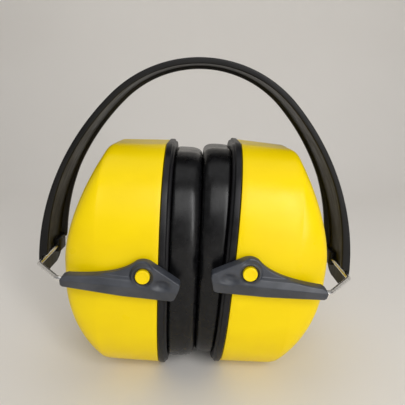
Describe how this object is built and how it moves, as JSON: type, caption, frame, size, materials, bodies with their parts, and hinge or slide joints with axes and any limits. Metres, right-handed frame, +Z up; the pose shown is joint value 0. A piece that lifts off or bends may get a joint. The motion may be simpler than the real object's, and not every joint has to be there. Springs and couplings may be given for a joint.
{
  "type": "earmuff hearing protector",
  "caption": "Folding over-head earmuff: arched plastic headband, bent steel wire forks, sliding pivot arms and domed cups with soft sealing cushions, stored folded.",
  "frame": {"origin": "centre of the bounding box at the surface the folded object stands on", "axes": "+Z up, +X to the right seen from the front, +Y to the back"},
  "size_m": [0.1556, 0.097, 0.1527],
  "materials": {
    "band": "satin moulded",
    "wire": "bright drawn steel",
    "arm": "satin moulded",
    "cup": "semi-gloss moulded",
    "plate": "satin moulded",
    "cover": "glossy vinyl",
    "foam": "open-cell foam"
  },
  "bodies": {
    "headband": {"headband": "band"},
    "left_fork": {"left_wire_fork": "wire"},
    "left_arms": {"left_front_arm": "arm", "left_rear_arm": "arm"},
    "left_cup": {"left_cup_shell": "cup", "left_back_plate": "plate", "left_cushion_plate": "plate", "left_cushion_foam": "foam", "left_cushion_cover": "cover", "left_acoustic_insert": "foam", "left_front_pivot_pin": "cup", "left_rear_pivot_pin": "cup"},
    "right_fork": {"right_wire_fork": "wire"},
    "right_arms": {"right_front_arm": "arm", "right_rear_arm": "arm"},
    "right_cup": {"right_cup_shell": "cup", "right_back_plate": "plate", "right_cushion_plate": "plate", "right_cushion_foam": "foam", "right_cushion_cover": "cover", "right_acoustic_insert": "foam", "right_front_pivot_pin": "cup", "right_rear_pivot_pin": "cup"}
  },
  "joints": [
    {"name": "left_yoke_hinge", "type": "hinge", "parent": "headband", "child": "left_fork", "pos_m": [-0.07481, 0, 0.05774], "axis": [0, 1, 0], "range_deg": [0, 90], "deforming": ["left_cushion_cover", "left_cushion_foam"]},
    {"name": "left_arm_slide", "type": "slide", "parent": "left_fork", "child": "left_arms", "axis": [0.9921, 0, -0.1253], "range_m": [0, 0.018]},
    {"name": "left_cup_pivot", "type": "hinge", "parent": "left_arms", "child": "left_cup", "pos_m": [-0.02132, 0, 0.06271], "axis": [0, 1, 0], "range_deg": [-90, 0]},
    {"name": "right_yoke_hinge", "type": "hinge", "parent": "headband", "child": "right_fork", "pos_m": [0.07537, 0, 0.04948], "axis": [0, -1, 0], "range_deg": [0, 90], "deforming": ["right_cushion_cover", "right_cushion_foam"]},
    {"name": "right_arm_slide", "type": "slide", "parent": "right_fork", "child": "right_arms", "axis": [-0.994, 0, 0.1097], "range_m": [0, 0.018]},
    {"name": "right_cup_pivot", "type": "hinge", "parent": "right_arms", "child": "right_cup", "pos_m": [0.02348, 0, 0.06381], "axis": [0, -1, 0], "range_deg": [-90, 0]}
  ],
  "couplings": [
    {"joint": "left_arm_slide", "follows": "left_yoke_hinge", "m_per_rad": 0.011459},
    {"joint": "left_cup_pivot", "follows": "left_yoke_hinge", "ratio": -1},
    {"joint": "right_arm_slide", "follows": "right_yoke_hinge", "m_per_rad": 0.011459},
    {"joint": "right_cup_pivot", "follows": "right_yoke_hinge", "ratio": -1}
  ]
}
